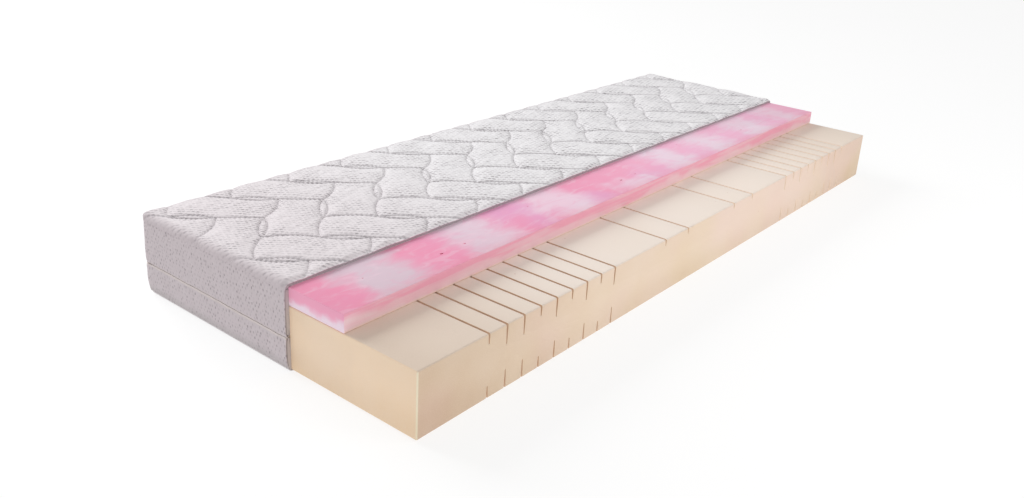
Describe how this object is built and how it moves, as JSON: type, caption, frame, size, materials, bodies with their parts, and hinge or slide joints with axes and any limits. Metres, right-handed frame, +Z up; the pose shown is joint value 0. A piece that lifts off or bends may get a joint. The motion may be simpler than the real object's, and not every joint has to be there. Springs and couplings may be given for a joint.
{
  "type": "foam mattress",
  "caption": "Cut-away foam mattress: slit beige foam core, marbled pink and white topper and a quilted zipped cover, cut lengthwise so that the layers show.",
  "frame": {"origin": "bottom centre of the overall box, on the surface that the mattress lies on", "axes": "+X along the length, +Y from the exposed long side to the covered long side, +Z up"},
  "size_m": [2.016, 0.8086, 0.188],
  "materials": {
    "core_foam": "matt open-cell cold foam, beige",
    "adhesive_film": "thin dull adhesive layer",
    "topper_foam": "matt marbled pink and white visco foam",
    "bottom_knit": "plain pale knit",
    "wadding": "bonded polyester wadding",
    "border_knit": "mauve-grey spacer knit with small pits",
    "backing": "thin white nonwoven",
    "top_knit": "white ribbed jacquard knit, quilted",
    "zip_tape": "pale beige woven tape",
    "zip_coil": "pale polyester coil",
    "zip_metal": "nickel-plated",
    "care_label": "blank white satin label"
  },
  "bodies": {
    "mattress": {"core_foam": "core_foam", "adhesive_film": "adhesive_film", "topper_foam": "topper_foam", "bottom_knit": "bottom_knit", "bottom_wadding": "wadding", "border_lower_knit": "border_knit", "border_lower_wadding": "wadding", "zip_tape_lower": "zip_tape", "zip_coil_lower": "zip_coil", "zip_stop_lower": "zip_metal", "care_label": "care_label"},
    "upper_cover": {"top_backing": "backing", "top_wadding": "wadding", "top_knit": "top_knit", "border_upper_knit": "border_knit", "border_upper_wadding": "wadding", "zip_tape_upper": "zip_tape", "zip_coil_upper": "zip_coil", "zip_stop_upper": "zip_metal"},
    "zip_slider": {"zip_slider": "zip_metal"},
    "zip_pull": {"zip_pull": "zip_metal"}
  },
  "joints": [
    {"name": "upper_cover_lift", "type": "slide", "parent": "mattress", "child": "upper_cover", "axis": [0, 0, 1], "range_m": [0, 0.25]},
    {"name": "zip_slider_travel", "type": "slide", "parent": "mattress", "child": "zip_slider", "axis": [1, 0, 0], "range_m": [-1.7, 0]},
    {"name": "zip_pull_swing", "type": "hinge", "parent": "zip_slider", "child": "zip_pull", "pos_m": [0.855, 0.4027, 0.075], "axis": [0, 0, 1], "range_deg": [0, 175]}
  ]
}
